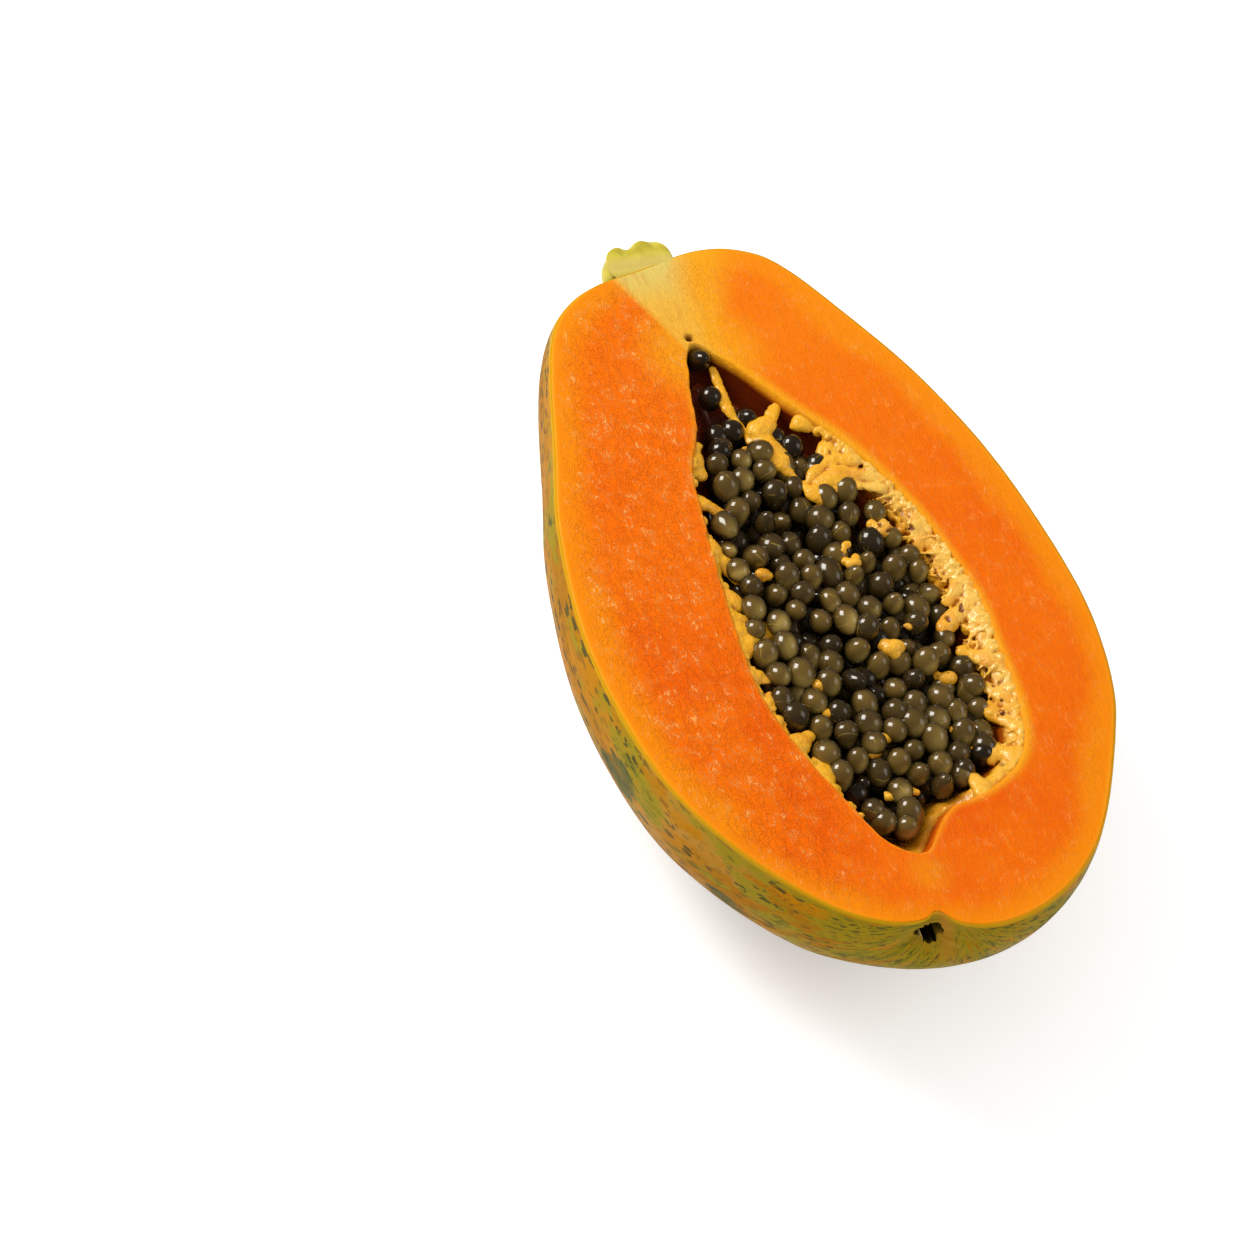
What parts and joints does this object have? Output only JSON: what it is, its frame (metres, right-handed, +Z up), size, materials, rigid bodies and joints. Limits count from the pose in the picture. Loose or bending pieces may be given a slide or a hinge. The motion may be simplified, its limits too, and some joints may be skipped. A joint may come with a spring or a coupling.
{
  "type": "papaya half",
  "caption": "Half of a ripe papaya lying cut face up: thick orange flesh in a mottled yellow-green rind, a long hollow lined with pulp and heaped with dark seeds, and a stub of stem.",
  "frame": {"origin": "on the ground, under the middle of the box that holds the fruit as it lies on its rind", "axes": "+Y along the fruit from the blossom end to the stem, +Z up out of the cut face, +X to the right of the cut face with the stem at the top"},
  "size_m": [0.1292, 0.2101, 0.0601],
  "materials": {
    "flesh": "satin",
    "rind": "satin",
    "pulp": "satin",
    "seeds": "gloss",
    "stem": "matte"
  },
  "bodies": {
    "root": {"flesh": "flesh", "pulp": "pulp", "seeds": "seeds", "stem": "stem"}
  },
  "joints": []
}
